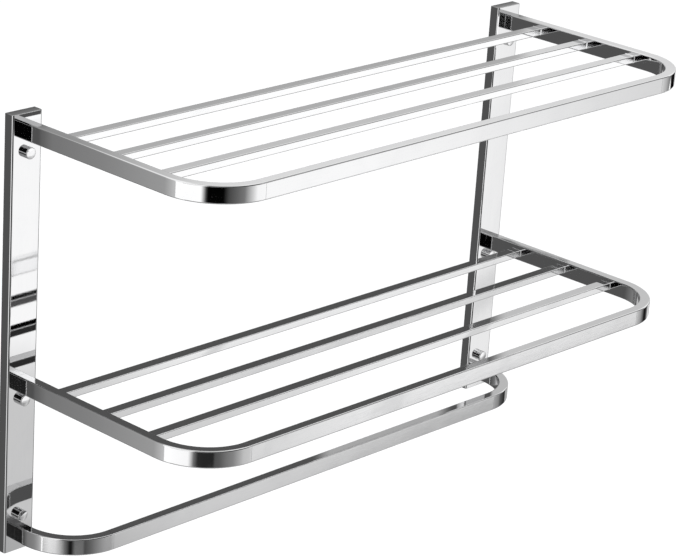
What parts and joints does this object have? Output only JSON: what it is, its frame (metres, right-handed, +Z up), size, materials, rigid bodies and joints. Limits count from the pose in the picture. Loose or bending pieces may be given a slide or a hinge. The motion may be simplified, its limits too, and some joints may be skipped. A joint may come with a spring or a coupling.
{
  "type": "towel rack",
  "caption": "Wall-mounted towel rack: two bar shelves in bent rectangular tube, a towel rail below them, and two flat wall plates with capped screws.",
  "frame": {"origin": "centre of the four outer wall-screw holes, on the wall plane (the back of both wall plates)", "axes": "+X along the rack, to the right as seen by someone facing the wall; +Y into the wall, so the shelves stand out along -Y; +Z up"},
  "size_m": [0.6216, 0.232, 0.388],
  "materials": {
    "polished_plate": "mirror-polished flat bar",
    "polished_frame": "mirror-polished bent tube with small weld seams",
    "polished_rail": "mirror-polished straight tube",
    "polished_bar": "mirror-polished flat tube",
    "polished_cap": "turned and polished",
    "brass_ring": "plain machined, hidden under the caps",
    "plain_screw": "plain stainless screw",
    "plain_insert": "plain machined block inside the tube"
  },
  "bodies": {
    "root": {"left_wall_plate": "polished_plate", "right_wall_plate": "polished_plate", "upper_left_arm": "polished_frame", "upper_right_arm": "polished_frame", "upper_front_rail": "polished_rail", "upper_back_bar": "polished_bar", "upper_centre_bar": "polished_bar", "upper_fore_bar": "polished_bar", "middle_left_arm": "polished_frame", "middle_right_arm": "polished_frame", "middle_front_rail": "polished_rail", "middle_back_bar": "polished_bar", "middle_centre_bar": "polished_bar", "middle_fore_bar": "polished_bar", "towel_rail_left_arm": "polished_frame", "towel_rail_right_arm": "polished_frame", "towel_rail_tube": "polished_rail", "arm_end_inserts": "plain_insert", "arm_fixing_screws": "plain_screw", "cap_bases": "brass_ring", "screw_caps": "polished_cap"}
  },
  "joints": []
}
